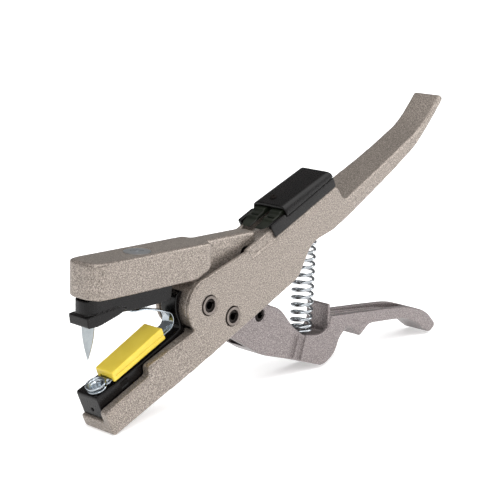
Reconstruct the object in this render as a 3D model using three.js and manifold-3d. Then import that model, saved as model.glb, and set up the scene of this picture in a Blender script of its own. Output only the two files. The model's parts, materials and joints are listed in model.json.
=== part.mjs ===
// Ear tag applicator pliers. Millimetres, +Z up, jaws towards -X, handles towards +X.
// The body frame (u, v) starts at the jaw pivot: u runs up the body, v is square to it.
// The jaw frame and the lever frame are level and start at their own pivots.
import * as THREE from 'three';
import { mergeVertices } from 'three/addons/utils/BufferGeometryUtils.js';
import Module from 'manifold-3d';

const wasm = await Module();
wasm.setup();

// Layout
const bodySlope = 24.2;        // degrees, lower jaw and rails
const lowerJawReach = 74;      // jaw pivot to the front of the lower jaw
const handleReach = 203;       // jaw pivot to the end of the body's handle
const upperJawReach = 70.9;    // jaw pivot to the front of the upper jaw
const leverReach = 176;        // lever pivot to the lever's tip
const tailStart = 113;         // lever pivot to where its tail begins
const leverPivotX = 16.5;      // lever pivot behind the jaw pivot
const leverPivotDrop = 8.3;    // lever pivot below the jaw pivot

// Widths across the tool
const bodyWidth = 23;
const cheekWall = 2.8;
const lowerJawWidth = 20;
const upperJawWidth = 20;
const handleTipWidth = 17;
const leverWall = 2.8;
const armWidth = 10.6;
const linkThick = 4.4;
const sideGap = 0.35;          // between pieces that turn side by side
const fitGap = 0.3;            // between pieces that stay together
const runGap = 0.3;            // round a pin that turns

// Body casting
const bodyDepth = 23.7;        // pivot to the underside
const bossRadius = 14;
const railHeight = 9.6;        // rail top above the pivot line
const ledgeHeight = 4.6;
const railWall = 2.5;
const railInside = 7.6;        // half the room between the rails
const railStart = 34;
const railEnd = 102.7;
const channelFloor = 16;       // lower jaw channel, below the pivot line
const nearWall = 5;            // lower jaw's thick side wall
const farWall = 2.6;
const jawStep = 45;            // step in the side wall, in front of the pivot
const handleThick = 9.2;
const handleTipThick = 3.6;
const handleRise = 5;          // end of the handle above the pivot line

// Pins
const bushRadius = 4.6;
const bushProud = 0.2;
const pinRadius = 3.1;
const pinBore = 1.9;
const pinSetback = 0.4;        // pin end behind the cheek's face
const linkPinRadius = 3.0;
const pinSlot = 1.0;

// Mechanism
const linkPinX = 23;           // lower link pin from the lever pivot
const linkPinDrop = 4.3;
const armPinX = 31;            // upper link pin from the jaw pivot
const armPinRise = 19.4;
const armReach = 38.4;         // end of the upper jaw's arm behind the jaw pivot
const lugRadius = 13;
const leverEyeRadius = 9.4;
const linkEye = 4.8;           // link end round the upper pin
const linkFoot = 5.4;          // link end round the lower pin

// Upper jaw
const upperJawTop = 30;        // above the jaw pivot
const upperJawBottom = 12.8;
const upperJawBack = 2.5;      // wide part's end behind the jaw pivot
const needleX = 65.8;
const needleTip = 16.2;        // tip below the jaw pivot
const needleRadius = 3;
const insertWidth = 11.6;
const collarDrop = 6.6;        // black collar under the casting
const grubLength = 7;
const insertScrewX = 36.7;
const insertScrewRadius = 6.4;
const screwShank = 2;

// Lower jaw fittings
const insertTop = 3.1;         // insert's top below the pivot line
const insertSetback = 1.4;     // insert's front behind the casting's
const cupPlace = 67.2;           // anvil cup in front of the pivot
const cupRadius = 5;
const cupBore = 2.6;           // inside of the cup's mouth
const cupPoint = 0.8;          // and at its closed bottom
const cupWall = 0.8;
const cupDepth = 6.4;          // blind bore below the clip
const cupRim = 2;
const clipWidth = 7.6;
const clipThick = 0.7;
const curlRadius = 5.1;
const curlPlace = 21.5;        // curl's centre in front of the pivot
const padLength = 34.6;
const padWidth = 11.4;
const padThick = 4.6;          // at its front end
const padRise = 1.3;           // thicker at its rear end

// Slide box
const slideFront = 51.5;
const slideLength = 51;
const slideHeight = 16.2;      // front of the top above the pivot line
const slideFall = 2.2;         // rear of the top below its front
const slideWidth = 22.4;
const slideWall = 1.3;
const slideSeam = 10.4;
const slideLipHeight = 12.2;   // side walls in front of the cover
const coverSetback = 12.5;
const coverRoof = 1.8;
const forkSlot = 3.4;
const forkReach = 2.3;         // prongs in front of the housing
const rivetSetback = 7;
const rivetSide = 2.5;
const rivetRadius = 1.05;

// Return spring
const springCoils = 17.7;
const springRadius = 5.3;      // to the wire's centre
const springWire = 1.6;
const springClosed = 1.4;      // closed turns at each end
const springTop = [82.3, 34.2];   // from the jaw pivot, level frame
const springFootX = 81;
const seatFloor = 24.2;        // lever's spring seat below the lever pivot

const colours = { cast: 0x9c9490, lever: 0x8e8587, black: 0x17161a, steel: 0xb9bcc0, yellow: 0xe8cf3c };

function material(color, roughness, metalness) {
  return new THREE.MeshStandardMaterial({ color, roughness, metalness });
}

// A closed outline; each point is [x, z] or [x, z, radius] for a rounded corner.
function outline(points) {
  const shape = new THREE.Shape();
  points.forEach((point, i) => {
    const before = points[(i + points.length - 1) % points.length];
    const after = points[(i + 1) % points.length];
    const corner = new THREE.Vector2(point[0], point[1]);
    const toBefore = new THREE.Vector2(before[0], before[1]).sub(corner);
    const toAfter = new THREE.Vector2(after[0], after[1]).sub(corner);
    const reach = Math.min(point[2] ?? 0, toBefore.length() * 0.45, toAfter.length() * 0.45);
    const start = corner.clone().addScaledVector(toBefore.normalize(), reach);
    const end = corner.clone().addScaledVector(toAfter.normalize(), reach);
    if (i === 0) shape.moveTo(start.x, start.y);
    else shape.lineTo(start.x, start.y);
    if (reach > 0) shape.quadraticCurveTo(corner.x, corner.y, end.x, end.y);
  });
  shape.closePath();
  return shape;
}

function solid(geometry) {
  geometry.deleteAttribute('normal');
  geometry.deleteAttribute('uv');
  const merged = mergeVertices(geometry, 1e-5);
  const mesh = new wasm.Mesh({
    numProp: 3,
    vertProperties: new Float32Array(merged.attributes.position.array),
    triVerts: new Uint32Array(merged.index.array),
  });
  return new wasm.Manifold(mesh);
}

// An outline in the side view, from side y0 to side y1.
function plate(points, y0, y1, curveSegments = 4) {
  const settings = { depth: y1 - y0, bevelEnabled: false, curveSegments };
  const geometry = new THREE.ExtrudeGeometry(outline(points), settings);
  geometry.rotateX(Math.PI / 2);
  geometry.translate(0, y1, 0);
  return solid(geometry);
}

// An outline in the plan view (x, y), from height z0 to z1.
function slab(points, z0, z1, curveSegments = 4) {
  const settings = { depth: z1 - z0, bevelEnabled: false, curveSegments };
  const geometry = new THREE.ExtrudeGeometry(outline(points), settings);
  geometry.translate(0, 0, z0);
  return solid(geometry);
}

function block(x0, x1, y0, y1, z0, z1) {
  const geometry = new THREE.BoxGeometry(x1 - x0, y1 - y0, z1 - z0);
  geometry.translate((x0 + x1) / 2, (y0 + y1) / 2, (z0 + z1) / 2);
  return solid(geometry);
}

// A round bar across the tool.
function drum(x, z, radius, y0, y1, sides = 40) {
  const geometry = new THREE.CylinderGeometry(radius, radius, y1 - y0, sides);
  geometry.translate(x, (y0 + y1) / 2, z);
  return solid(geometry);
}

// A turned piece about an upright axis; profile is [radius, z] from the axis back to the axis.
function turned(profile, x, y, sides = 32) {
  const points = profile.map(([r, z]) => new THREE.Vector2(r, z));
  const geometry = new THREE.LatheGeometry(points, sides);
  geometry.rotateX(Math.PI / 2);
  geometry.translate(x, y, 0);
  return solid(geometry);
}

function join(first, ...rest) {
  return rest.reduce((sum, piece) => sum.add(piece), first);
}

function cut(first, ...rest) {
  return rest.reduce((sum, piece) => sum.subtract(piece), first);
}

function named(name, piece, look) {
  const result = piece.getMesh();
  const geometry = new THREE.BufferGeometry();
  geometry.setAttribute('position', new THREE.BufferAttribute(new Float32Array(result.vertProperties), 3));
  geometry.setIndex(new THREE.BufferAttribute(new Uint32Array(result.triVerts), 1));
  geometry.computeVertexNormals();
  const mesh = new THREE.Mesh(geometry, look);
  mesh.name = name;
  return mesh;
}

const castLook = () => material(colours.cast, 0.45, 0.7);
const leverLook = () => material(colours.lever, 0.5, 0.7);
const blackLook = () => material(colours.black, 0.4, 0);
const steelLook = () => material(colours.steel, 0.25, 1);

// Shared places
const halfBody = bodyWidth / 2;
const cheekInside = halfBody - cheekWall;
const leverHalf = cheekInside - sideGap;
const leverInside = leverHalf - leverWall;
const halfJaw = lowerJawWidth / 2;
const insertNear = -halfJaw + nearWall;
const insertFront = lowerJawReach - insertSetback;
const slope = THREE.MathUtils.degToRad(bodySlope);
const throughY = halfBody + 5;
const springFoot = [springFootX, -leverPivotDrop - seatFloor + springWire / 2 + fitGap];
const pegRadius = springRadius - springWire / 2 - 0.8;
const pegStart = springLine().length - 7;
const pegEnd = springLine().length + 4;
const clipLevel = -insertTop + fitGap;    // underside of the clip's front ring
const legLevel = clipLevel + 0.9;         // underside of the clip's leg
const slideRear = slideFront + slideLength;
const coverFront = slideFront + coverSetback;
const rivetPlace = coverFront + rivetSetback;

// A level-frame offset from the jaw pivot, in the body frame.
function toBody(x, z) {
  return [x * Math.cos(slope) + z * Math.sin(slope), -x * Math.sin(slope) + z * Math.cos(slope)];
}

const leverPivot = toBody(leverPivotX, -leverPivotDrop);

// Cheeks, lower jaw and handle in one casting.
function bodyCasting() {
  const underside = -bodyDepth;
  const cheeks = plate([
    [-8, underside], [60, underside, 3], [75.5, underside + 11.4, 6], [93, underside + 8.4, 2],
    [112, -14.6], [112, -5.6], [106, -4.6, 3], [railEnd + 0.6, ledgeHeight, 1.2], [railStart, ledgeHeight],
    [railStart - 0.6, railHeight, 1], [2, bossRadius - 0.3, 4], [-8, 2],
  ], -halfBody, halfBody);
  const boss = drum(0, 0, bossRadius, -halfBody, halfBody, 64);
  const rails = [-railInside - railWall, railInside].map((side) => plate([
    [railStart - 1, ledgeHeight - 2], [railEnd, ledgeHeight - 2], [railEnd, railHeight, 1],
    [railStart - 1, railHeight],
  ], side, side + railWall));
  const jaw = plate([
    [-lowerJawReach, underside + 1, 1.2], [-30, underside - 0.3, 8], [0, underside], [0, -7],
    [-jawStep + 1.2, -5, 1.2], [-jawStep, -9.6, 1.2], [-lowerJawReach, -9.4, 2],
  ], -halfBody, halfBody).intersect(slab([
    [-lowerJawReach - 2, -halfJaw], [-jawStep, -halfJaw, 14], [-4, -halfBody, 12], [2, -halfBody],
    [2, halfBody], [-4, halfBody, 12], [-jawStep, halfJaw, 14], [-lowerJawReach - 2, halfJaw],
  ], -40, 10));
  const handleTop = [
    [104, -5.4], [150, -5.2, 30], [handleReach - 20, -3.6, 24], [handleReach, handleRise, 1.2],
    [handleReach - 0.6 + handleTipThick * 0.6, handleRise - handleTipThick, 1.2],
  ];
  const handleSide = plate([
    ...handleTop, [handleReach - 12, -4.6, 10], [handleReach - 28, -10.6, 20],
    [150, -4.2 - handleThick, 20], [93, underside + 8.4], [93, -6],
  ], -halfBody, halfBody, 8);
  const tipHalf = handleTipWidth / 2;
  const plan = slab([
    [90, -halfBody], [108, -halfBody, 8], [150, -tipHalf - 0.9, 20], [handleReach + 6, -tipHalf],
    [handleReach + 6, tipHalf], [150, tipHalf + 0.9, 20], [108, halfBody, 8], [90, halfBody],
  ], -40, 40);
  const handle = handleSide.intersect(plan);
  const room = plate([
    [-30, -7.6], [-8, -15.5, 4], [1, underside - 2], [62, underside - 2], [76, -14, 4],
    [80, -5], [railEnd - 3, 1], [railEnd - 3, railHeight + 3], [-12, 22], [-30, 8],
  ], -cheekInside, cheekInside);
  const insertSide = insertNear - fitGap;
  const channel = block(-lowerJawReach - 2, -14, insertSide, halfJaw - farWall + fitGap, -channelFloor, 5);
  const tipOpen = block(-lowerJawReach - 2, -jawStep, insertSide, halfJaw + 1, -channelFloor, 5);
  const lugRoom = drum(0, 0, lugRadius + sideGap + 0.2, -cheekInside, cheekInside, 48);
  const bushRoom = bushRadius + fitGap;
  const bushHoles = [[0, 0], leverPivot].map(([u, v]) => drum(u, v, bushRoom, -throughY, throughY));
  const pegHole = alongSpring(pegRadius + fitGap, pegStart - fitGap, pegEnd + fitGap);
  const springTopRoom = springRadius + springWire / 2 + 0.8;
  const springBore = alongSpring(springTopRoom, springLine().length - 22, springLine().length + fitGap);
  const casting = cut(
    join(cut(join(cheeks, boss), room), ...rails, cut(jaw, channel, tipOpen, lugRoom), handle),
    ...bushHoles, pegHole, springBore,
  );
  return named('body_casting', casting, castLook());
}

// Black block in the lower jaw; it rises behind the clip to the upper jaw.
function lowerInsert() {
  const floor = -channelFloor + fitGap;
  const top = -insertTop;
  const front = plate([
    [-insertFront, floor], [-jawStep - 0.6, floor], [-jawStep - 0.6, top - 1.4],
    [-insertFront + 13, top - 0.8, 2], [-insertFront, top, 1.6],
  ], insertNear, halfJaw - 0.8);
  const back = plate([
    [-jawStep - 2, floor], [-14.5, floor], [-14.5, top - 0.4], [-19.5, top - 1.4, 2],
    [-jawStep - 2, top - 1.4],
  ], insertNear, halfJaw - farWall);
  const riser = cut(
    plate([
      [-26, floor], [-14.4, floor], [-14.4, -5.8], [-6, -5.8], [-7.9, 12.7, 1], [-12.3, 12.5, 2],
      [-15.5, 6, 4], [-15.7, -4, 4],
    ], insertNear, -insertNear),
    drum(0, 0, lugRadius + 1, -throughY, throughY, 48),
  );
  const window = plate([[-14, -14.4], [0, -14.4], [0, -40], [-14, -40]], -throughY, throughY);
  const stemRoom = cupBore + cupWall + fitGap;
  const cupHole = turned([[0, -13.5], [stemRoom, -13.5], [stemRoom, 4], [0, 4]], -cupPlace, 0);
  const sideRib = block(-58, -53.5, insertNear - 1, insertNear + 0.6, -8.6, -5.4);
  const toolHole = solid(new THREE.CylinderGeometry(0.9, 0.9, 8, 16).rotateZ(Math.PI / 2)
    .translate(-insertFront, 1.5, -channelFloor + 4.4));
  const insert = cut(join(front, back, riser), window, cupHole, sideRib, toolHole);
  return named('lower_jaw_insert', insert, blackLook());
}

// Dished steel cup with a blind bore for the needle's point; its flange holds the clip's front end down.
function anvilCup() {
  const seat = clipLevel + clipThick + fitGap;
  const lip = seat + cupRim;
  const stem = cupBore + cupWall;
  const bottom = clipLevel - cupDepth;
  const cup = turned([
    [0, bottom], [stem, bottom], [stem, seat], [cupRadius, seat], [cupRadius, lip - 0.6],
    [cupRadius - 0.4, lip], [cupRadius - 1.1, lip - 0.1], [cupBore + 0.7, seat + 0.6],
    [cupBore, seat], [cupPoint, bottom + cupWall], [0, bottom + cupWall],
  ], -cupPlace, 0, 36);
  return named('anvil_cup', cup, steelLook());
}

// Hairpin leaf: a ring under the cup, a flat leg under the pad, a curl, and an arm up to the upper jaw.
function leafClip() {
  const half = clipWidth / 2;
  const centre = [
    [-cupPlace + 1, clipLevel], [-cupPlace + cupRadius, clipLevel], [-cupPlace + cupRadius + 2.5, legLevel],
  ];
  const bends = 9;
  const openAngle = 138;
  for (let i = 0; i <= bends; i += 1) {
    const turn = THREE.MathUtils.degToRad(-90 + openAngle * (i / bends));
    centre.push([-curlPlace + curlRadius * Math.cos(turn), legLevel + curlRadius * (1 + Math.sin(turn))]);
  }
  centre.push([-31.6, 18.4], [-37, 20.2]);
  const outer = [];
  const inner = [];
  centre.forEach(([u, v], i) => {
    const before = centre[Math.max(i - 1, 0)];
    const after = centre[Math.min(i + 1, centre.length - 1)];
    const along = new THREE.Vector2(after[0] - before[0], after[1] - before[1]).normalize();
    outer.push([u, v]);
    inner.push([u - along.y * clipThick, v + along.x * clipThick]);
  });
  const strip = plate([...outer, ...inner.reverse()], -half, half);
  const bore = cupBore + cupWall + fitGap;
  const rim = cupRadius - 0.3;
  const ringTop = clipLevel + clipThick;
  const ring = turned([
    [bore, clipLevel], [rim, clipLevel], [rim, ringTop], [bore, ringTop], [bore, clipLevel],
  ], -cupPlace, 0);
  const hole = turned([
    [0, clipLevel - 1], [bore, clipLevel - 1], [bore, clipLevel + 2], [0, clipLevel + 2],
  ], -cupPlace, 0);
  return named('leaf_clip', cut(join(strip, ring), hole), steelLook());
}

// Moulded pad that wraps over the leaf, thicker towards the curl; a groove runs along each side.
function yellowPad() {
  const half = padWidth / 2;
  const start = -cupPlace + cupRadius + 1.2;
  const end = start + padLength;
  const top = legLevel + padThick;
  const bottom = legLevel - 0.5;
  const body = plate([
    [start, bottom, 0.6], [end, bottom], [end, top + padRise, 1], [start + 0.3, top, 0.9],
  ], -half, half);
  const slotSide = clipWidth / 2 + fitGap;
  const slot = block(start - 1, end + 1, -slotSide, slotSide, bottom - 1, legLevel + clipThick + fitGap);
  const grooveDeep = 0.7;
  const groove = [-half - 1, half - grooveDeep].map((side) => block(
    start + 2, end + 1, side, side + 1 + grooveDeep, legLevel + 1.4, legLevel + 2.1,
  ));
  return named('yellow_pad', cut(body, slot, ...groove), material(colours.yellow, 0.45, 0));
}

// A spring pin: a rolled tube with a slot along it.
function rollPin(name, x, z, radius, halfLength) {
  const tube = cut(
    drum(x, z, radius, -halfLength, halfLength, 32),
    drum(x, z, pinBore * radius / pinRadius, -halfLength - 1, halfLength + 1, 24),
    block(x, x + radius + 1, -halfLength - 1, halfLength + 1, z - pinSlot / 2, z + pinSlot / 2),
  );
  return named(name, tube, steelLook());
}

function bush(name, [u, v], side) {
  const proud = halfBody + bushProud;
  const start = side < 0 ? -proud : cheekInside;
  const end = side < 0 ? -cheekInside : proud;
  const bore = drum(u, v, pinRadius + fitGap, start - 1, end + 1, 32);
  const ring = cut(drum(u, v, bushRadius, start, end), bore);
  return named(name, ring, steelLook());
}

// Top of the slide box at a place along the body; it falls towards the handle.
function coverTop(u) {
  return slideHeight - slideFall * (u - slideFront) / slideLength;
}

// Housing, fork, cover and rivet that slide along the rails.
function slideHousing() {
  const half = slideWidth / 2;
  const bottom = ledgeHeight + 0.6;
  const shell = plate([
    [slideFront + 1.2, bottom, 0.6], [slideRear, bottom], [slideRear, slideSeam],
    [coverFront - fitGap, slideSeam], [coverFront - fitGap - 0.6, slideLipHeight, 0.6],
    [slideFront, slideLipHeight, 0.8],
  ], -half, half);
  const wall = slideWall + 0.8;
  const ends = [slideFront - 1, slideRear + 1];
  const inside = block(...ends, -half + wall, half - wall, bottom - 1, slideHeight);
  const railSide = railInside + railWall + sideGap;
  const railRoom = block(...ends, -railSide, railSide, bottom - 1, railHeight + sideGap);
  const rearWall = block(slideRear - 1.6, slideRear, -half, half, railHeight + sideGap, slideSeam);
  return named('slide_housing', join(cut(shell, inside, railRoom), rearWall), blackLook());
}

// Lid with rounded long edges and a hollow underside.
function slideCover() {
  const half = slideWidth / 2;
  const low = slideSeam + fitGap;
  const crown = 4.5;
  const section = outline([[-half, -slideHeight], [half, -slideHeight], [half, 0, crown], [-half, 0, crown]]);
  const settings = { depth: slideLength + 4, bevelEnabled: false, curveSegments: 8 };
  const geometry = new THREE.ExtrudeGeometry(section, settings);
  geometry.rotateX(Math.PI / 2);
  geometry.rotateZ(Math.PI / 2);
  geometry.rotateY(Math.atan2(slideFall, slideLength));
  geometry.translate(slideFront, 0, slideHeight);
  const profile = plate([
    [coverFront, low], [slideRear, low], [slideRear, coverTop(slideRear), 2.5],
    [slideRear - 12, slideHeight + 2], [coverFront + 2, slideHeight + 2],
    [coverFront + 0.2, coverTop(coverFront) - 1, 0.6],
  ], -half - 1, half + 1);
  const inner = half - slideWall - 0.5;
  const hollow = plate([
    [coverFront - 4, low - 1], [slideRear - 1.6, low - 1], [slideRear - 1.6, coverTop(slideRear) - coverRoof],
    [coverFront - 4, coverTop(coverFront - 4) - coverRoof],
  ], -inner, inner);
  const lid = cut(solid(geometry).intersect(profile), hollow, rivetBore());
  return named('slide_cover', lid, blackLook());
}

function rivetBore() {
  const radius = rivetRadius + fitGap;
  return turned([[0, 0], [radius, 0], [radius, 30], [0, 30]], rivetPlace, rivetSide, 20);
}

// Fork of two broad prongs that look out from under the cover.
function slideFork() {
  const half = slideWidth / 2 - slideWall - 0.8 - fitGap;
  const tip = slideFront - forkReach;
  const low = railHeight + sideGap + 0.1;
  const rear = slideRear - 1.6 - fitGap;
  const under = coverRoof + fitGap;
  const high = coverTop(coverFront) - under;
  const side = plate([
    [tip, low + 0.8, 1.6], [rear, low], [rear, coverTop(rear) - under], [coverFront - 2, high],
    [coverFront - 3, high - 1], [coverFront - 8, high - 1, 0.8], [coverFront - 8.6, high - 2, 0.6],
    [tip + 1.4, high - 2.2, 2],
  ], -half, half);
  const plan = slab([
    [tip, -half + 3], [tip + 3, -half, 2], [rear, -half], [rear, half], [tip + 3, half, 2], [tip, half - 3],
  ], low - 2, high + 2);
  const slot = block(tip - 1, coverFront + 14, -forkSlot / 2, forkSlot / 2, low - 2, high + 2);
  const grooves = [-half + 0.9, forkSlot / 2 + 0.9].map((start) => block(
    coverFront - 6.4, coverFront - 5.2, start, start + half - forkSlot / 2 - 1.8, high - 2, high,
  ));
  const rivetRoom = rivetBore();
  const fork = cut(side.intersect(plan), slot, rivetRoom, ...grooves);
  return named('slide_fork', fork, material(0x20241f, 0.5, 0));
}

function coverRivet() {
  const top = coverTop(rivetPlace) + 0.15;
  const low = top - 6;
  const bore = 0.5;
  const rivet = turned([
    [bore, low], [rivetRadius, low], [rivetRadius, top], [rivetRadius + 0.85, top + 0.15],
    [rivetRadius + 0.65, top + 0.5], [rivetRadius - 0.2, top + 0.55], [bore, top + 0.1], [bore, low],
  ], rivetPlace, rivetSide, 20);
  return named('cover_rivet', rivet, steelLook());
}

// A body-frame outline point in the level frame.
function toLevel([u, v, radius]) {
  return [u * Math.cos(slope) - v * Math.sin(slope), u * Math.sin(slope) + v * Math.cos(slope), radius];
}

// Upper jaw, level frame at the jaw pivot: a wide front block, a lug between the cheeks, and an arm.
function upperJawCasting() {
  const half = upperJawWidth / 2;
  const back = upperJawBack;
  const wide = slab([
    [-upperJawReach, -half, 7.5], [back, -half, 1.2], [back, half, 1.2], [-upperJawReach, half, 6],
  ], upperJawBottom, upperJawTop, 6);
  const cheekRoom = drum(0, 0, bossRadius + 0.7, -throughY, throughY, 64);
  const cheekTopRoom = plate([
    [0, -20], [45, -20], [45, bossRadius + 0.5], [0, bossRadius + 0.7],
  ].map(toLevel), -throughY, throughY);
  const core = plate([
    [-16, upperJawBottom], [-6, upperJawBottom], [-6, 0], [9, -4], [10, 8, 4],
    [back - 1, upperJawBottom + 1.6], [back - 1, upperJawTop - 2], [-16, upperJawTop - 2],
  ], -leverHalf, leverHalf);
  const lug = drum(0, 0, lugRadius - 0.2, -leverHalf, leverHalf, 48);
  const arm = plate([
    [-4, 6], [14, 8, 4], [armPinX - 3, armPinRise - 6.6, 4], [armPinX + 4, armPinRise - 6, 4],
    [armReach, armPinRise, 4], [armReach + 0.4, upperJawTop - 5, 3], [armReach - 0.8, upperJawTop, 0.8],
    [-4, upperJawTop],
  ], -armWidth / 2, armWidth / 2);
  const pocketSide = insertWidth / 2 + fitGap;
  const pocketFront = -needleX - needleRadius - fitGap - 0.1;
  const pocket = block(pocketFront, -18, -pocketSide, pocketSide, upperJawBottom - 3, upperJawBottom + 9);
  const leverRoom = drum(leverPivotX, -leverPivotDrop, leverEyeRadius + 1, -throughY, throughY, 48);
  const pivotHole = drum(0, 0, pinRadius + runGap, -throughY, throughY, 32);
  const armHole = drum(armPinX, armPinRise, linkPinRadius + fitGap, -throughY, throughY, 32);
  const slotSide = linkThick / 2 + sideGap;
  const slotTop = armPinRise + linkEye + 0.6;
  const linkSlot = block(armPinX - 11, armReach + 2, -slotSide, slotSide, armPinRise - 14, slotTop);
  const seatRadius = insertScrewRadius + fitGap;
  const screwSeat = turned([
    [0, 0], [screwShank + fitGap, 0], [screwShank + fitGap, upperJawTop - 4.2],
    [seatRadius, upperJawTop - 0.4], [seatRadius, upperJawTop + 3], [0, upperJawTop + 3],
  ], -insertScrewX, 0);
  const casting = cut(
    join(cut(wide, cheekRoom, cheekTopRoom), core, lug, arm),
    pocket, pivotHole, armHole, linkSlot, screwSeat, leverRoom,
  );
  return named('upper_jaw_casting', casting, castLook());
}

// Black insert: a stem in the casting, a collar round the needle and a flange that guides the tag.
function upperInsert() {
  const half = insertWidth / 2;
  const bottom = upperJawBottom;
  const collar = -needleX - needleRadius - 1.9;
  const stemTop = bottom + 8.7;
  const stemFront = -needleX - needleRadius - 0.1;
  const stem = plate([
    [collar, bottom - collarDrop], [-46, bottom - 8.4, 4], [-31, bottom - 8.2, 4], [-20, bottom - 7.6],
    [-18.3, stemTop], [stemFront, stemTop], [stemFront, bottom - fitGap], [collar, bottom - fitGap],
  ], -half, half);
  const flange = plate([
    [-needleX - 6, bottom - collarDrop - 0.4, 0.8], [-needleX - 5.2, bottom - 12, 0.8],
    [-needleX + 1.2, bottom - 12, 2], [-52, bottom - 8.6, 6], [-48, bottom - 6.6], [-52, bottom - 5.2, 2],
  ], -half - 0.6, half + 0.6);
  const heel = drum(0, 0, lugRadius + 6.8, -throughY, throughY, 48);
  const shankRoom = screwShank + fitGap;
  const screwHole = turned([[0, -2], [shankRoom, -2], [shankRoom, 40], [0, 40]], -insertScrewX, 0, 20);
  const needleRoom = needleRadius + fitGap;
  const needleHole = turned([
    [0, bottom - 14], [needleRoom, bottom - 14], [needleRoom, bottom + 3], [0, bottom + 3],
  ], -needleX, 0, 24);
  const grubEnd = needleRadius + fitGap + 0.1 + grubLength;
  const grubHole = solid(new THREE.CylinderGeometry(1.8, 1.8, grubEnd, 20).rotateZ(Math.PI / 2)
    .translate(-needleX + grubEnd / 2, 0, bottom - 3.6));
  const nose = slab([
    [collar, -half, 5], [0, -half], [0, half], [collar, half, 5],
  ], bottom - 20, bottom + 20);
  const insert = cut(join(stem.intersect(nose), flange), heel, screwHole, needleHole, grubHole);
  return named('upper_jaw_insert', insert, blackLook());
}

// Needle with an ogive point and a tapering flute on two sides.
function needle() {
  const tip = -needleTip;
  const top = upperJawBottom + 2.6;
  const profile = [[0.03, 0.1], [0.3, 0.5], [0.55, 0.75], [0.8, 0.93], [1, 1]];
  const pointLength = 16;
  const body = turned([
    [0, tip], ...profile.map(([z, r]) => [r * needleRadius, tip + z * pointLength]),
    [needleRadius, top], [0, top],
  ], -needleX, 0, 28);
  const fluteEnd = tip + pointLength;
  const flutes = [-1, 1].map((way) => {
    const flute = outline([[-0.2, tip + 4.4], [0.2, tip + 4.4], [1, fluteEnd, 0.6], [-1, fluteEnd, 0.6]]);
    const geometry = new THREE.ExtrudeGeometry(flute, { depth: needleRadius, bevelEnabled: false });
    geometry.rotateX(Math.PI / 2);
    geometry.translate(0, way < 0 ? -needleRadius * 0.55 : needleRadius * 1.55, 0);
    geometry.rotateZ(-Math.PI / 4);
    geometry.translate(-needleX, 0, 0);
    return solid(geometry);
  });
  return named('needle', cut(body, ...flutes), steelLook());
}

function needleGrubScrew() {
  const start = -needleX + needleRadius + fitGap + 0.1;
  const screw = solid(new THREE.CylinderGeometry(1.5, 1.5, grubLength, 20).rotateZ(Math.PI / 2)
    .translate(start + grubLength / 2, 0, upperJawBottom - 3.6));
  const socket = solid(new THREE.CylinderGeometry(0.75, 0.75, 3, 6).rotateZ(Math.PI / 2)
    .translate(start + grubLength, 0, upperJawBottom - 3.6));
  return named('needle_grub_screw', cut(screw, socket), steelLook());
}

function insertScrew() {
  const top = upperJawTop - 0.4;
  const screw = turned([
    [0, upperJawBottom - 5], [screwShank, upperJawBottom - 5], [screwShank, top - 3.7],
    [insertScrewRadius, top - 0.2], [insertScrewRadius, top + 0.2], [0, top + 0.7],
  ], -insertScrewX, 0, 32);
  const drive = [Math.PI / 4, -Math.PI / 4].map((turn) => {
    const arm = new THREE.BoxGeometry(6.4, 1.3, 3);
    arm.rotateZ(turn);
    arm.translate(-insertScrewX, 0, top + 0.2);
    return solid(arm);
  });
  return named('insert_screw', cut(screw, ...drive), steelLook());
}

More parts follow.
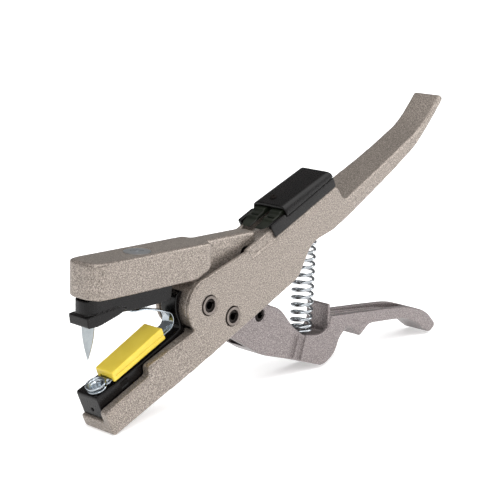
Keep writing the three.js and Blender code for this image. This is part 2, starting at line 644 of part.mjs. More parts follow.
// Lever, level frame at the lever pivot.
function leverCasting() {
  const wallX = 77.5;
  const floor = -seatFloor;
  const tailLength = leverReach - tailStart;
  const tail = (share, z, radius = 0) => [tailStart + share * tailLength, z, radius];
  const side = plate([
    [-4, -8.5], [6.9, -14.8, 3], [25.3, -25.6, 4], [44.3, -31.4, 4], [74.1, -41.3, 3], [83.4, -37.2, 7],
    [87.3, -28.4, 5], [92, -24.8, 3], [97.4, -24.3, 2], [104.6, -31.2, 1.8], [tailStart, -25.4, 3],
    tail(0.26, -26.9, 8), tail(0.524, -28.6, 8), tail(0.7, -33.2, 6), tail(0.914, -42, 3),
    tail(1.016, -38, 3.4), tail(0.85, -28.2, 10), tail(0.571, -22, 10), tail(0.08, -18.8, 10),
    [79.6, -15.2, 1], [77.4, -22, 5], [70, -23.6, 4],
    [57.5, -21.4, 2], [48.9, -15.3, 3], [38.4, -3.8, 4], [26, 1.2, 4], [12, 6.4, 4], [0, 8.8],
  ], -leverHalf, leverHalf);
  const eye = drum(0, 0, leverEyeRadius, -leverHalf, leverHalf, 48);
  const lip = plate([
    [wallX, floor], [wallX + 2.1, floor], [wallX + 2.1, -14], [wallX + 1.8, -8.6, 0.6],
    [wallX + 0.3, -8.6, 0.6],
  ], -leverHalf + 0.8, leverHalf - 0.8);
  const seatStart = springFootX - leverPivotX - springRadius - springWire / 2 - 0.8;
  const seat = block(seatStart, wallX, -leverHalf + 2, leverHalf - 2, floor, 0);
  const slot = plate([
    [-14, -20], [30, -20, 4], [42, -14, 4], [54, -16], [54, 20], [-14, 20],
  ], -leverInside, leverInside);
  const gripDeep = plate([
    [wallX + 2.3, -17.2], [101, -19.6, 4], tail(0.33, -23.4, 6), tail(0.65, -28),
    tail(0.65, 0), [wallX + 2.3, 0],
  ], -5.4, 5.4);
  const gripRib = plate([
    [wallX, -30], tail(0.33, -30), tail(0.33, -21.4, 6), [101, -17.8, 4], [wallX, -15.2],
  ], -1.1, 1.1);
  const jawRoom = drum(-leverPivotX, leverPivotDrop, lugRadius + 1, -throughY, throughY, 48);
  const pivotHole = drum(0, 0, pinRadius + runGap, -throughY, throughY, 32);
  const linkHole = drum(linkPinX, -linkPinDrop, linkPinRadius + fitGap, -throughY, throughY, 32);
  const markLips = [-3, 3].map((offset) => coreMark(offset, 0.7, 0.6));
  const casting = cut(
    join(cut(join(side, eye, lip), gripDeep.subtract(gripRib)), ...markLips),
    seat, slot, coreMark(0, 1.9, -1.6), pivotHole, linkHole, jawRoom,
  );
  return named('lever_casting', casting, leverLook());
}

// Bar along the cast channel on the lever's near face, set off sideways; proud is how far it stands out.
function coreMark(offset, halfWidth, proud) {
  const outside = Math.max(proud, 1);
  const inside = Math.min(proud, -1);
  const bar = new THREE.BoxGeometry(2 * halfWidth, outside - inside, proud < 0 ? 20 : 12.6);
  bar.translate(offset, (inside - outside) / 2 - (proud > 0 ? proud - outside : 0), 0);
  bar.rotateY(THREE.MathUtils.degToRad(18));
  bar.translate(53.4, -leverHalf, -27);
  return solid(bar);
}

function toggleLink() {
  const rise = armPinRise + leverPivotDrop + linkPinDrop;
  const run = armPinX - leverPivotX - linkPinX;
  const half = linkThick / 2;
  const bar = plate([[-3.6, 0], [3.6, 0], [run + 3.4, rise], [run - 3.4, rise]], -half, half);
  const ends = [drum(0, 0, linkFoot, -half, half, 32), drum(run, rise, linkEye, -half, half, 32)];
  const lower = drum(0, 0, linkPinRadius + runGap, -half - 1, half + 1, 32);
  const upper = drum(run, rise, linkPinRadius + runGap + 0.4, -half - 1, half + 1, 32);
  return named('toggle_link', cut(join(bar, ...ends), lower, upper), steelLook());
}

function linkSpacer(name, side) {
  const inner = linkThick / 2 + sideGap;
  const outer = leverInside - fitGap;
  const y0 = side < 0 ? -outer : inner;
  const y1 = side < 0 ? -inner : outer;
  const ring = cut(drum(0, 0, 4.8, y0, y1, 32), drum(0, 0, linkPinRadius + fitGap, y0 - 1, y1 + 1, 32));
  return named(name, ring, steelLook());
}

// A round bar on the return spring's axis, in the body frame.
function alongSpring(radius, from, to) {
  const bar = new THREE.CylinderGeometry(radius, radius, to - from, 32);
  bar.rotateX(Math.PI / 2);
  bar.translate(0, 0, (from + to) / 2);
  bar.rotateY(springLine().angle);
  bar.translate(springFoot[0], 0, springFoot[1]);
  bar.rotateY(slope);
  return solid(bar);
}

function springLine() {
  const dx = springTop[0] - springFoot[0];
  const dz = springTop[1] - springFoot[1];
  return { length: Math.hypot(dx, dz), angle: Math.atan2(dx, dz) };
}

class Helix extends THREE.Curve {
  constructor(radius, length, turns) {
    super();
    Object.assign(this, { radius, length, turns });
  }

  getPoint(t, target = new THREE.Vector3()) {
    const angle = 2 * Math.PI * this.turns * t;
    const dead = springClosed / this.turns;
    const ramp = THREE.MathUtils.clamp((t - dead) / (1 - 2 * dead), 0, 1);
    const closed = springWire * 1.08 * springClosed;
    const lift = closed * (Math.min(t, dead) / dead) + (this.length - 2 * closed) * ramp
      + closed * (Math.max(t - 1 + dead, 0) / dead);
    return target.set(this.radius * Math.cos(angle), this.radius * Math.sin(angle), lift);
  }
}

function returnSpring() {
  const { length, angle } = springLine();
  const section = new THREE.Shape();
  section.absarc(0, 0, springWire / 2, 0, 2 * Math.PI);
  const path = new Helix(springRadius, length - springWire, springCoils);
  const geometry = new THREE.ExtrudeGeometry(section, {
    steps: Math.round(springCoils * 14), extrudePath: path, curveSegments: 3, bevelEnabled: false,
  });
  geometry.translate(0, 0, springWire / 2);
  geometry.rotateY(angle);
  geometry.translate(springFoot[0], 0, springFoot[1]);
  return named('return_spring', solid(geometry), steelLook());
}

const body = new THREE.Group();
body.rotation.y = -slope;
body.add(
  bodyCasting(), lowerInsert(), anvilCup(), leafClip(), yellowPad(),
  rollPin('jaw_pivot_pin', 0, 0, pinRadius, halfBody - pinSetback),
  rollPin('lever_pivot_pin', ...leverPivot, pinRadius, halfBody - pinSetback),
  bush('jaw_pivot_bush_near', [0, 0], -1), bush('jaw_pivot_bush_far', [0, 0], 1),
  bush('lever_pivot_bush_near', leverPivot, -1), bush('lever_pivot_bush_far', leverPivot, 1),
  named('spring_peg', alongSpring(pegRadius, pegStart, pegEnd), steelLook()),
  slideHousing(), slideCover(), slideFork(), coverRivet(),
);

const jaw = new THREE.Group();
jaw.add(
  upperJawCasting(), upperInsert(), needle(), needleGrubScrew(), insertScrew(), returnSpring(),
  rollPin('upper_link_pin', armPinX, armPinRise, linkPinRadius, armWidth / 2 - 0.2),
);

const link = new THREE.Group();
link.position.set(linkPinX, 0, -linkPinDrop);
link.add(toggleLink(), linkSpacer('link_spacer_near', -1), linkSpacer('link_spacer_far', 1));

const lever = new THREE.Group();
lever.position.set(leverPivotX, 0, -leverPivotDrop);
lever.add(leverCasting(), link);
lever.add(rollPin('lower_link_pin', linkPinX, -linkPinDrop, linkPinRadius, leverHalf - 0.2));

const tool = new THREE.Group();
tool.add(body, jaw, lever);

const part = new THREE.Group();
part.add(tool);
part.updateMatrixWorld(true);
const box = new THREE.Box3().setFromObject(part, true);
tool.position.x -= (box.min.x + box.max.x) / 2;
tool.position.z -= box.min.z;

export default part;
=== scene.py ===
import json
import math

import bmesh
import bpy
from mathutils import Matrix, Quaternion, Vector


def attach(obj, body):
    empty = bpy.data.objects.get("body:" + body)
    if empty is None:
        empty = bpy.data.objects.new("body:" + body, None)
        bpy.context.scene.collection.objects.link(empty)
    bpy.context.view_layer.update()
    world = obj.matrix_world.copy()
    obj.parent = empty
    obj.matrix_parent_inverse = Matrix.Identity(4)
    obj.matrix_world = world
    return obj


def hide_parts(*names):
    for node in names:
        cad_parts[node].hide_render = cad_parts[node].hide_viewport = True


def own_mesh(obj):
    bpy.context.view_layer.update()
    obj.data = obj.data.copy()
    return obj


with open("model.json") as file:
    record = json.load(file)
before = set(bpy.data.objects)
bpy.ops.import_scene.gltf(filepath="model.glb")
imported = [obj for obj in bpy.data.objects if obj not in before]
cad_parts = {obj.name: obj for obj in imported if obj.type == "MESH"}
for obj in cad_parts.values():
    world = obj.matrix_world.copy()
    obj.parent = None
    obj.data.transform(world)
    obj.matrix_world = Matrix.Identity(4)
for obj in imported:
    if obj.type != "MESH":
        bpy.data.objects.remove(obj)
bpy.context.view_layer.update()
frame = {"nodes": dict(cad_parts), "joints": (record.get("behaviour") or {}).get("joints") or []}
mm = 0.001
print("frame loaded:", len(frame["nodes"]), "nodes")


def tint(hexText):  # sRGB hex to the linear colour that shaders want
    channels = [int(hexText[i:i + 2], 16) / 255 for i in (1, 3, 5)]
    linear = [c / 12.92 if c <= 0.04045 else ((c + 0.055) / 1.055) ** 2.4 for c in channels]
    return (*linear, 1.0)


def addNode(tree, kind, settings=None, links=None):  # keys are socket names, socket numbers or node settings
    node = tree.nodes.new(kind)
    for key, value in (settings or {}).items():
        if isinstance(key, int) or (key in node.inputs and not hasattr(node, key)):
            node.inputs[key].default_value = value
        else:
            setattr(node, key, value)
    for key, source in (links or {}).items():
        tree.links.new(source, node.inputs[key])
    return node


def startMaterial(name):
    material = bpy.data.materials.new(name)
    material.use_nodes = True
    tree = material.node_tree
    tree.nodes.clear()
    place = addNode(tree, "ShaderNodeTexCoord").outputs["Object"]
    return material, tree, place


def closeMaterial(tree, settings, links):
    shader = addNode(tree, "ShaderNodeBsdfPrincipled", settings, links)
    addNode(tree, "ShaderNodeOutputMaterial", {}, {"Surface": shader.outputs[0]})


# Die-cast zinc alloy under silver flake lacquer: a warm grey with a fine sparkle and a soft, broad shine.
castLook = {
    "body": {"base": "#7f766e", "flake": "#b2a89f", "pit": "#4c4540",
             "grain": 0.55, "cloud": 26, "roughness": 0.31, "bump": 0.1},
    "lever": {"base": "#746c6b", "flake": "#a09796", "pit": "#474141",
              "grain": 0.55, "cloud": 26, "roughness": 0.33, "bump": 0.1},
}


def silverLacquer(name, look):
    material, tree, place = startMaterial(name)
    grain = 1 / (look["grain"] * mm)  # the real flake is 0.1 mm and too fine to show, so it is drawn coarser
    flake = addNode(tree, "ShaderNodeTexNoise", {"Scale": grain, "Detail": 3.0, "Roughness": 0.7},
                    {"Vector": place})
    cloud = addNode(tree, "ShaderNodeTexNoise", {"Scale": 1 / (look["cloud"] * mm), "Detail": 3.0},
                    {"Vector": place})
    spark = addNode(tree, "ShaderNodeMapRange", {"From Min": 0.5, "From Max": 0.68},
                    {"Value": flake.outputs["Fac"]})
    dark = addNode(tree, "ShaderNodeMapRange", {"From Min": 0.5, "From Max": 0.33},
                   {"Value": flake.outputs["Fac"]})
    lit = addNode(tree, "ShaderNodeMix", {"data_type": "RGBA", 6: tint(look["base"]), 7: tint(look["flake"])},
                  {0: spark.outputs[0]})
    pitted = addNode(tree, "ShaderNodeMix", {"data_type": "RGBA", 7: tint(look["pit"])},
                     {0: dark.outputs[0], 6: lit.outputs[2]})
    rough = addNode(tree, "ShaderNodeMapRange",
                    {"To Min": look["roughness"] - 0.05, "To Max": look["roughness"] + 0.07},
                    {"Value": cloud.outputs["Fac"]})
    bump = addNode(tree, "ShaderNodeBump", {"Strength": look["bump"], "Distance": 0.1 * mm},
                   {"Height": flake.outputs["Fac"]})
    closeMaterial(tree, {"Metallic": 0.5},
                  {"Base Color": pitted.outputs[2], "Roughness": rough.outputs[0], "Normal": bump.outputs[0]})
    return material


# Glass-filled nylon, moulded: near black with a soft shine that breaks up over a faint leathery grain.
nylonLook = {
    "insert": {"colour": "#060505", "worn": "#0e0b0b", "roughness": 0.26,
               "grain": 0.7, "cloud": 9, "bump": 0.15},
    "fork": {"colour": "#12150f", "worn": "#1e2119", "roughness": 0.36,
             "grain": 0.7, "cloud": 9, "bump": 0.15},
}


def mouldedNylon(name, look):
    material, tree, place = startMaterial(name)
    grain = addNode(tree, "ShaderNodeTexNoise", {"Scale": 1 / (look["grain"] * mm), "Detail": 4.0},
                    {"Vector": place})
    cloud = addNode(tree, "ShaderNodeTexNoise", {"Scale": 1 / (look["cloud"] * mm), "Detail": 3.0},
                    {"Vector": place})
    wear = addNode(tree, "ShaderNodeMapRange", {"From Min": 0.45, "From Max": 0.75},
                   {"Value": cloud.outputs["Fac"]})
    colour = addNode(tree, "ShaderNodeMix",
                     {"data_type": "RGBA", 6: tint(look["colour"]), 7: tint(look["worn"])},
                     {0: wear.outputs[0]})
    rough = addNode(tree, "ShaderNodeMapRange",
                    {"To Min": look["roughness"] - 0.06, "To Max": look["roughness"] + 0.1},
                    {"Value": grain.outputs["Fac"]})
    bump = addNode(tree, "ShaderNodeBump", {"Strength": look["bump"], "Distance": 0.05 * mm},
                   {"Height": grain.outputs["Fac"]})
    closeMaterial(tree, {"IOR": 1.53, "Specular IOR Level": 0.18},
                  {"Base Color": colour.outputs[2], "Roughness": rough.outputs[0], "Normal": bump.outputs[0]})
    return material


# Polypropylene, injection moulded: clear lemon yellow, a satin skin and a trace of light inside it.
padLook = {"colour": "#d8c145", "shade": "#c6ac2c", "roughness": 0.38, "grain": 0.8, "cloud": 7}


def mouldedPolypropylene(name, look):
    material, tree, place = startMaterial(name)
    cloud = addNode(tree, "ShaderNodeTexNoise", {"Scale": 1 / (look["cloud"] * mm), "Detail": 3.0},
                    {"Vector": place})
    grain = addNode(tree, "ShaderNodeTexNoise", {"Scale": 1 / (look["grain"] * mm), "Detail": 3.0},
                    {"Vector": place})
    colour = addNode(tree, "ShaderNodeMix",
                     {"data_type": "RGBA", 6: tint(look["colour"]), 7: tint(look["shade"])},
                     {0: cloud.outputs["Fac"]})
    bump = addNode(tree, "ShaderNodeBump", {"Strength": 0.1, "Distance": 0.05 * mm},
                   {"Height": grain.outputs["Fac"]})
    closeMaterial(tree, {"IOR": 1.49, "Roughness": look["roughness"], "Subsurface Weight": 0.15,
                         "Subsurface Radius": (1.0, 0.7, 0.2), "Subsurface Scale": 1.5 * mm},
                  {"Base Color": colour.outputs[2], "Normal": bump.outputs[0]})
    return material


# Carbon steel, zinc plated: a cold bright grey, with fine drawing lines that stretch the highlights.
zincLook = {
    "wire": {"colour": "#b4b8bb", "cloud": "#8b8f94", "roughness": 0.2, "line": (0.25, 0.25, 0.25)},
    "strip": {"colour": "#b3babf", "cloud": "#868d94", "roughness": 0.16, "line": (4.0, 0.3, 4.0)},
    "ground": {"colour": "#a3a8aa", "cloud": "#74797c", "roughness": 0.16, "line": (0.3, 0.3, 6.0)},
    "turned": {"colour": "#cdcfd1", "cloud": "#b0b2b4", "roughness": 0.34, "line": (0.5, 0.5, 0.5)},
    "dull": {"colour": "#8a827d", "cloud": "#6a625d", "roughness": 0.48, "line": (0.6, 0.6, 0.6)},
    "dark": {"colour": "#2b2725", "cloud": "#161312", "roughness": 0.4, "line": (0.6, 0.6, 0.6)},
}
zincCloud = 5  # mm across one cloud of the plating


def platedSteel(name, look):
    material, tree, place = startMaterial(name)
    stretch = addNode(tree, "ShaderNodeMapping", {"Scale": [1 / (side * mm) for side in look["line"]]},
                      {"Vector": place})
    line = addNode(tree, "ShaderNodeTexNoise", {"Scale": 1.0, "Detail": 3.0}, {"Vector": stretch.outputs[0]})
    cloud = addNode(tree, "ShaderNodeTexNoise", {"Scale": 1 / (zincCloud * mm), "Detail": 3.0},
                    {"Vector": place})
    colour = addNode(tree, "ShaderNodeMix",
                     {"data_type": "RGBA", 6: tint(look["colour"]), 7: tint(look["cloud"])},
                     {0: cloud.outputs["Fac"]})
    rough = addNode(tree, "ShaderNodeMapRange",
                    {"To Min": look["roughness"] - 0.07, "To Max": look["roughness"] + 0.1},
                    {"Value": line.outputs["Fac"]})
    bump = addNode(tree, "ShaderNodeBump", {"Strength": 0.08, "Distance": 0.03 * mm},
                   {"Height": line.outputs["Fac"]})
    closeMaterial(tree, {"Metallic": 1.0},
                  {"Base Color": colour.outputs[2], "Roughness": rough.outputs[0], "Normal": bump.outputs[0]})
    return material


bodyLacquer = silverLacquer("silverFlakeLacquerOnCasting", castLook["body"])
leverLacquer = silverLacquer("silverFlakeLacquerOnLever", castLook["lever"])
blackNylon = mouldedNylon("mouldedBlackNylon", nylonLook["insert"])
forkNylon = mouldedNylon("mouldedGreenBlackNylon", nylonLook["fork"])
padPlastic = mouldedPolypropylene("mouldedYellowPolypropylene", padLook)
zincWire = platedSteel("drawnZincedWire", zincLook["wire"])
zincStrip = platedSteel("rolledZincedStrip", zincLook["strip"])
groundSteel = platedSteel("groundNeedleSteel", zincLook["ground"])
turnedSteel = platedSteel("turnedZincedSteel", zincLook["turned"])
dullSteel = platedSteel("tumbledBushSteel", zincLook["dull"])
darkSteel = platedSteel("oiledBlackSteel", zincLook["dark"])
print("materials made")


def finished(piece, material, body):  # gives a new piece its finish and its body
    piece.data.materials.clear()
    piece.data.materials.append(material)
    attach(piece, body)
    return piece


def meshPiece(name, mesh):
    piece = bpy.data.objects.new(name, mesh)
    bpy.context.collection.objects.link(piece)
    return piece


def baked(piece):  # turns the modifiers into plain mesh
    bpy.context.view_layer.update()
    shape = piece.evaluated_get(bpy.context.evaluated_depsgraph_get())
    mesh = bpy.data.meshes.new_from_object(shape)
    piece.modifiers.clear()
    piece.data = mesh
    for face in mesh.polygons:
        face.use_smooth = True
    return piece


# Castings and mouldings have soft edges: a fine grid over the solid, then smoothing passes.
softPieces = {
    "body_casting": {"grid": 0.45, "passes": 14, "keep": 0.35, "body": "body", "slot": "cast_body"},
    "upper_jaw_casting": {"grid": 0.5, "passes": 44, "keep": 0.4, "body": "upper_jaw", "slot": "cast_body"},
    "lever_casting": {"grid": 0.4, "passes": 7, "keep": 0.4, "body": "lever", "slot": "cast_lever"},
    "lower_jaw_insert": {"grid": 0.3, "passes": 5, "keep": 0.4, "body": "body", "slot": "black_plastic"},
    "upper_jaw_insert": {"grid": 0.3, "passes": 5, "keep": 0.4, "body": "upper_jaw", "slot": "black_plastic"},
    "slide_housing": {"grid": 0.3, "passes": 5, "keep": 0.4, "body": "slide", "slot": "black_plastic"},
    "slide_cover": {"grid": 0.3, "passes": 5, "keep": 0.4, "body": "slide", "slot": "black_plastic"},
    "slide_fork": {"grid": 0.3, "passes": 4, "keep": 0.4, "body": "slide", "slot": "fork_plastic"},
    "yellow_pad": {"grid": 0.25, "passes": 5, "keep": 0.4, "body": "clip", "slot": "yellow_plastic"},
}
slotFinish = {
    "cast_body": bodyLacquer, "cast_lever": leverLacquer, "black_plastic": blackNylon,
    "fork_plastic": forkNylon, "yellow_plastic": padPlastic, "bright_steel": turnedSteel,
}


def softenedSolid(nodeName, plan):
    name = "soft_" + nodeName
    piece = meshPiece(name, frame["nodes"][nodeName].data.copy())
    grid = piece.modifiers.new("grid", "REMESH")
    grid.mode = "VOXEL"
    grid.voxel_size = plan["grid"] * mm
    soften = piece.modifiers.new("soften", "SMOOTH")
    soften.factor = 0.5
    soften.iterations = plan["passes"]
    thin = piece.modifiers.new("thin", "DECIMATE")
    thin.ratio = plan["keep"]
    baked(piece)
    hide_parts(nodeName)
    finished(piece, slotFinish[plan["slot"]], plan["body"])
    print(name, len(piece.data.polygons), "faces")
    return piece


for nodeName, plan in softPieces.items():
    softenedSolid(nodeName, plan)


# Two working frames at the jaw pivot: level, and tilted with the lower jaw.
pivot = Vector(next(joint["pos_m"] for joint in frame["joints"] if joint["name"] == "jaw_pivot"))
levelFrame = Matrix.Translation(pivot) @ Matrix.Scale(mm, 4)
tilt = math.radians(24.2)
jawFrame = Matrix.Translation(pivot) @ Matrix.Rotation(-tilt, 4, "Y") @ Matrix.Scale(mm, 4)


def gridPiece(name, rows, place, closedRound=True, closedAlong=False):  # rows of points, joined row to row
    count = len(rows[0])
    points = [place @ Vector(point) for row in rows for point in row]
    faces = []
    for i in range(len(rows) if closedAlong else len(rows) - 1):
        here = i * count
        there = (i + 1) % len(rows) * count
        for j in range(count if closedRound else count - 1):
            k = (j + 1) % count
            faces.append((here + j, here + k, there + k, there + j))
    if not closedAlong:
        faces.append(tuple(range(count))[::-1])
        faces.append(tuple((len(rows) - 1) * count + j for j in range(count)))
    mesh = bpy.data.meshes.new(name)
    mesh.from_pydata(points, [], faces)
    work = bmesh.new()
    work.from_mesh(mesh)
    bmesh.ops.recalc_face_normals(work, faces=work.faces)
    work.to_mesh(mesh)
    work.free()
    for face in mesh.polygons:
        face.use_smooth = len(face.vertices) == 4
    return meshPiece(name, mesh)


def ringRow(radius, height, centre, sides, shape=None):
    row = []
    for j in range(sides):
        turn = 2 * math.pi * j / sides
        reach = radius * (shape(turn, height) if shape else 1.0)
        row.append((centre + reach * math.cos(turn), reach * math.sin(turn), height))
    return row


# Drawn wire wound into the return spring, at one fixed length; the real spring closes up as the lever comes
# in.
springPlan = {"foot": (81.0, -31.35), "top": (82.3, 34.2), "turns": 17.7, "closed": 1.4, "radius": 5.3,
              "wire": 0.79, "stepsPerTurn": 26, "sides": 12}


def woundSpring(plan):
    foot = Vector((plan["foot"][0], 0, plan["foot"][1]))
    axis = Vector((plan["top"][0], 0, plan["top"][1])) - foot
    length = axis.length - 2 * plan["wire"]
    axis.normalize()
    side = Vector((0, 1, 0)).cross(axis)
    dead = plan["closed"] / plan["turns"]
    low = 2.16 * plan["wire"] * plan["closed"]
    steps = round(plan["turns"] * plan["stepsPerTurn"])
    spine = []
    for i in range(steps + 1):
        t = i / steps
        ramp = min(max((t - dead) / (1 - 2 * dead), 0), 1)
        lift = low * min(t, dead) / dead + (length - 2 * low) * ramp + low * max(t - 1 + dead, 0) / dead
        turn = 2 * math.pi * plan["turns"] * t
        out = side * math.cos(turn) + Vector((0, 1, 0)) * math.sin(turn)
        spine.append((foot + axis * (lift + plan["wire"]) + out * plan["radius"], out))
    rows = []
    for i, (centre, out) in enumerate(spine):
        along = (spine[min(i + 1, steps)][0] - spine[max(i - 1, 0)][0]).normalized()
        up = along.cross(out)
        rows.append([centre + plan["wire"] * (out * math.cos(a) + up * math.sin(a))
                     for a in [2 * math.pi * j / plan["sides"] for j in range(plan["sides"])]])
    piece = gridPiece("wound_return_spring", rows, levelFrame)
    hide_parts("return_spring")
    finished(piece, zincWire, "body")
    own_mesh(piece)


woundSpring(springPlan)


# Ground and polished needle: an ogive point with two flutes that fade out towards the shank.
needlePlan = {"place": 65.8, "tip": 16.2, "radius": 2.98, "point": 16.0, "top": 15.3, "flute": 0.22,
              "fluteWidth": 0.3, "fluteTurns": (-118, 62), "steps": 40, "sides": 64}


def polishedNeedle(plan):
    def fluted(turn, height):
        rise = (height + plan["tip"]) / plan["point"]
        deep = plan["flute"] * min(max(rise * 2.2 - 0.25, 0), 1) * min(max((1.05 - rise) * 4, 0), 1)
        gaps = [abs(math.remainder(turn - math.radians(place), 2 * math.pi)) for place in plan["fluteTurns"]]
        return 1 - deep * math.exp(-(min(gaps) / plan["fluteWidth"]) ** 2)

    rows = []
    for i in range(plan["steps"] + 1):
        share = i / plan["steps"]
        radius = min(plan["radius"] * (1 - (1 - share) ** 1.75) + 0.03, plan["radius"])
        height = share * plan["point"] - plan["tip"]
        rows.append(ringRow(radius, height, -plan["place"], plan["sides"], fluted))
    rows.append(ringRow(plan["radius"], plan["top"], -plan["place"], plan["sides"]))
    piece = gridPiece("polished_needle", rows, levelFrame)
    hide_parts("needle")
    finished(piece, groundSteel, "upper_jaw")


polishedNeedle(needlePlan)


# Pressed steel cup: a turned-over lip and a dish that narrows to a closed point.
cupPlan = {"place": 67.2, "seat": -1.8, "lip": 0.2, "flange": 4.97, "mouth": 2.6, "point": 0.8,
           "bottom": -9.2, "wall": 0.8, "sides": 72}


def pressedCup(plan):
    seat, lip, flange = plan["seat"], plan["lip"], plan["flange"]
    stem = plan["mouth"] + plan["wall"]
    profile = [(0.02, plan["bottom"]), (stem, plan["bottom"]), (stem, seat), (flange - 0.3, seat)]
    for i in range(9):
        turn = 0.26 * i - 0.5
        profile.append((flange - 0.45 + 0.45 * math.cos(turn), lip - 0.5 + 0.5 * math.sin(turn)))
    profile += [(flange - 0.9, lip - 0.12), (flange - 1.25, lip - 0.45), (flange - 1.6, lip - 0.7),
                (stem, seat + 0.85), (plan["mouth"] + 0.3, seat + 0.5), (plan["mouth"], seat)]
    floorLevel = plan["bottom"] + plan["wall"]
    profile += [(plan["point"], floorLevel), (0.02, floorLevel - 0.1)]
    rows = [ringRow(radius, height, -plan["place"], plan["sides"]) for radius, height in profile]
    piece = gridPiece("pressed_cup", rows, jawFrame)
    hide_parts("anvil_cup")
    finished(piece, zincStrip, "body")


pressedCup(cupPlan)


# Rolled spring strip: a flat leg under the pad, a curl, and an arm that rests below the upper jaw.
leafPlan = {"half": 3.78, "thick": 0.68, "leg": -1.9, "front": -62.4, "flat": 2.2, "curl": -21.5,
            "radius": 5.1, "sweep": 138, "ring": (3.72, 4.68), "ringPlace": 67.2, "ringLevel": -2.8,
            "ringSides": 64, "arm": ((-31.6, 18.4), (-37.0, 20.2)), "lead": 5, "bend": (3.2, -1.6),
            "corner": 0.1, "endCut": 0.9, "legSteps": 8, "curlSteps": 36, "armSteps": 14}


def rolledLeaf(plan):
    line = [(plan["front"] - 2.4, plan["leg"] - 0.9), (plan["front"], plan["leg"] - 0.75),
            (plan["front"] + plan["flat"], plan["leg"])]
    for i in range(1, plan["legSteps"]):
        run = plan["curl"] - plan["front"] - plan["flat"]
        line.append((plan["front"] + plan["flat"] + run * i / plan["legSteps"], plan["leg"]))
    for i in range(plan["curlSteps"] + 1):
        turn = math.radians(-90 + plan["sweep"] * i / plan["curlSteps"])
        line.append((plan["curl"] + plan["radius"] * math.cos(turn),
                     plan["leg"] + plan["radius"] * (1 + math.sin(turn))))
    start = Vector(line[-1])
    lean = math.radians(plan["sweep"])
    first = start + Vector((math.cos(lean), math.sin(lean))) * plan["lead"]
    second, end = Vector(plan["arm"][0]) + Vector(plan["bend"]), Vector(plan["arm"][1])
    for i in range(1, plan["armSteps"] + 1):
        t = i / plan["armSteps"]
        pulled = 3 * t * (1 - t) ** 2 * first + 3 * t * t * (1 - t) * second
        line.append(tuple((1 - t) ** 3 * start + pulled + t ** 3 * end))
    rows = []
    thick, corner = plan["thick"], plan["corner"]
    for i, (u, v) in enumerate(line):
        before, after = Vector(line[max(i - 1, 0)]), Vector(line[min(i + 1, len(line) - 1)])
        along = (after - before).normalized()
        normal = Vector((-along.y, along.x))
        wide = plan["half"] - (plan["endCut"] if i in (0, len(line) - 1) else 0)
        edge = [(-wide, corner), (-wide + corner, 0), (wide - corner, 0), (wide, corner),
                (wide, thick - corner), (wide - corner, thick), (-wide + corner, thick),
                (-wide, thick - corner)]
        rows.append([(u + normal.x * lift, y, v + normal.y * lift) for y, lift in edge])
    leaf = gridPiece("rolled_leaf", rows, jawFrame)
    inner, outer = plan["ring"]
    low, high = plan["ringLevel"], plan["ringLevel"] + thick
    ringProfile = ((inner, low), (outer, low), (outer, high), (inner, high))
    ringRows = [ringRow(r, v, -plan["ringPlace"], plan["ringSides"]) for r, v in ringProfile]
    ring = gridPiece("leaf_ring", ringRows, jawFrame, closedAlong=True)
    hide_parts("leaf_clip")
    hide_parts("leaf_clip")
    for piece in (leaf, ring):
        finished(piece, zincStrip, "clip")
    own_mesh(leaf)


rolledLeaf(leafPlan)
print("turned, wound and rolled pieces made")


# What stays as the CAD made it, with its finish.
steelNodes = {
    "needle_grub_screw": darkSteel, "insert_screw": turnedSteel, "upper_link_pin": darkSteel,
    "jaw_pivot_pin": darkSteel, "lever_pivot_pin": darkSteel,
    "jaw_pivot_bush_near": dullSteel, "jaw_pivot_bush_far": dullSteel, "lever_pivot_bush_near": dullSteel,
    "lever_pivot_bush_far": dullSteel, "spring_peg": darkSteel, "lower_link_pin": darkSteel,
    "link_spacer_near": darkSteel, "link_spacer_far": darkSteel, "toggle_link": darkSteel,
    "cover_rivet": darkSteel,
}
for nodeName, material in steelNodes.items():
    node = frame["nodes"][nodeName]
    node.data.materials.clear()
    node.data.materials.append(material)
print("carried-over nodes finished")


# Studio: a white floor that glows faintly, a dim surround, a broad sky lamp and three soft panels.
studio = {"floor": "#ffffff", "floorGlow": 0.36, "floorSize": 60.0, "floorDrop": 0.2, "surround": 0.24}
floorMesh = bpy.data.meshes.new("studioFloor")
half = studio["floorSize"] / 2
floorCorners = [(-half, -half, 0), (half, -half, 0), (half, half, 0), (-half, half, 0)]
floorMesh.from_pydata(floorCorners, [], [(0, 1, 2, 3)])
floor = meshPiece("studioFloor", floorMesh)
floor.location.z = -studio["floorDrop"] * mm
floorMaterial, floorTree, floorPlace = startMaterial("paintedStudioFloor")
closeMaterial(floorTree, {"Base Color": tint(studio["floor"]), "Roughness": 0.9,
                          "Emission Color": (1, 1, 1, 1), "Emission Strength": studio["floorGlow"]}, {})
floorMesh.materials.append(floorMaterial)

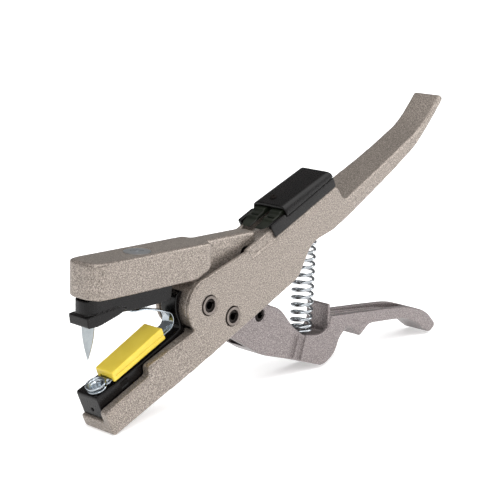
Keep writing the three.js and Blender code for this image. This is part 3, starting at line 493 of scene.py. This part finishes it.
world = bpy.data.worlds.new("whiteSurround")
bpy.context.scene.world = world
world.use_nodes = True
world.node_tree.nodes["Background"].inputs["Color"].default_value = (1, 1, 1, 1)
world.node_tree.nodes["Background"].inputs["Strength"].default_value = studio["surround"]

lamps = {  # place in metres, width and height of the soft panel in metres, watts
    "overheadPanel": {"place": (0.1, -0.3, 1.1), "size": (0.9, 0.9), "power": 4},
    "frontPanel": {"place": (-0.9, -0.9, 0.6), "size": (0.5, 0.7), "power": 4},
    "rightPanel": {"place": (0.9, -0.8, 0.5), "size": (0.4, 0.8), "power": 5},
}
target = Vector((0, 0, 0.065))
skyPlan = {"strength": 2.8, "spread": 100, "lean": (18, -14, 0)}
skylight = bpy.data.lights.new("skylight", "SUN")
skylight.energy = skyPlan["strength"]
skylight.angle = math.radians(skyPlan["spread"])
skyPanel = bpy.data.objects.new("skylight", skylight)
skyPanel.rotation_mode = "XYZ"
skyPanel.rotation_euler = [math.radians(lean) for lean in skyPlan["lean"]]
bpy.context.collection.objects.link(skyPanel)
for name, plan in lamps.items():
    lamp = bpy.data.lights.new(name, "AREA")
    lamp.shape = "RECTANGLE"
    lamp.size, lamp.size_y = plan["size"]
    lamp.energy = plan["power"]
    panel = bpy.data.objects.new(name, lamp)
    panel.location = plan["place"]
    panel.rotation_mode = "QUATERNION"
    panel.rotation_quaternion = (target - panel.location).to_track_quat("-Z", "Y")
    bpy.context.collection.objects.link(panel)

# The camera stands in front of the jaws, to their left, and looks a little down.
cameraPlan = {"place": (-0.52151, -0.4521, 0.22323), "aim": (-0.02061, 0, 0.06973),
              "roll": 1.79, "lens": 100.8, "sensor": 36}
cameraData = bpy.data.cameras.new("studioCamera")
cameraData.lens = cameraPlan["lens"]
cameraData.sensor_width = cameraPlan["sensor"]
camera = bpy.data.objects.new("studioCamera", cameraData)
camera.location = cameraPlan["place"]
sight = Vector(cameraPlan["aim"]) - camera.location
camera.rotation_mode = "QUATERNION"
camera.rotation_quaternion = (sight.to_track_quat("-Z", "Y")
                              @ Quaternion((0, 0, 1), math.radians(cameraPlan["roll"])))
bpy.context.collection.objects.link(camera)
bpy.context.scene.camera = camera
bpy.context.scene.view_settings.view_transform = "Standard"
print("studio ready")
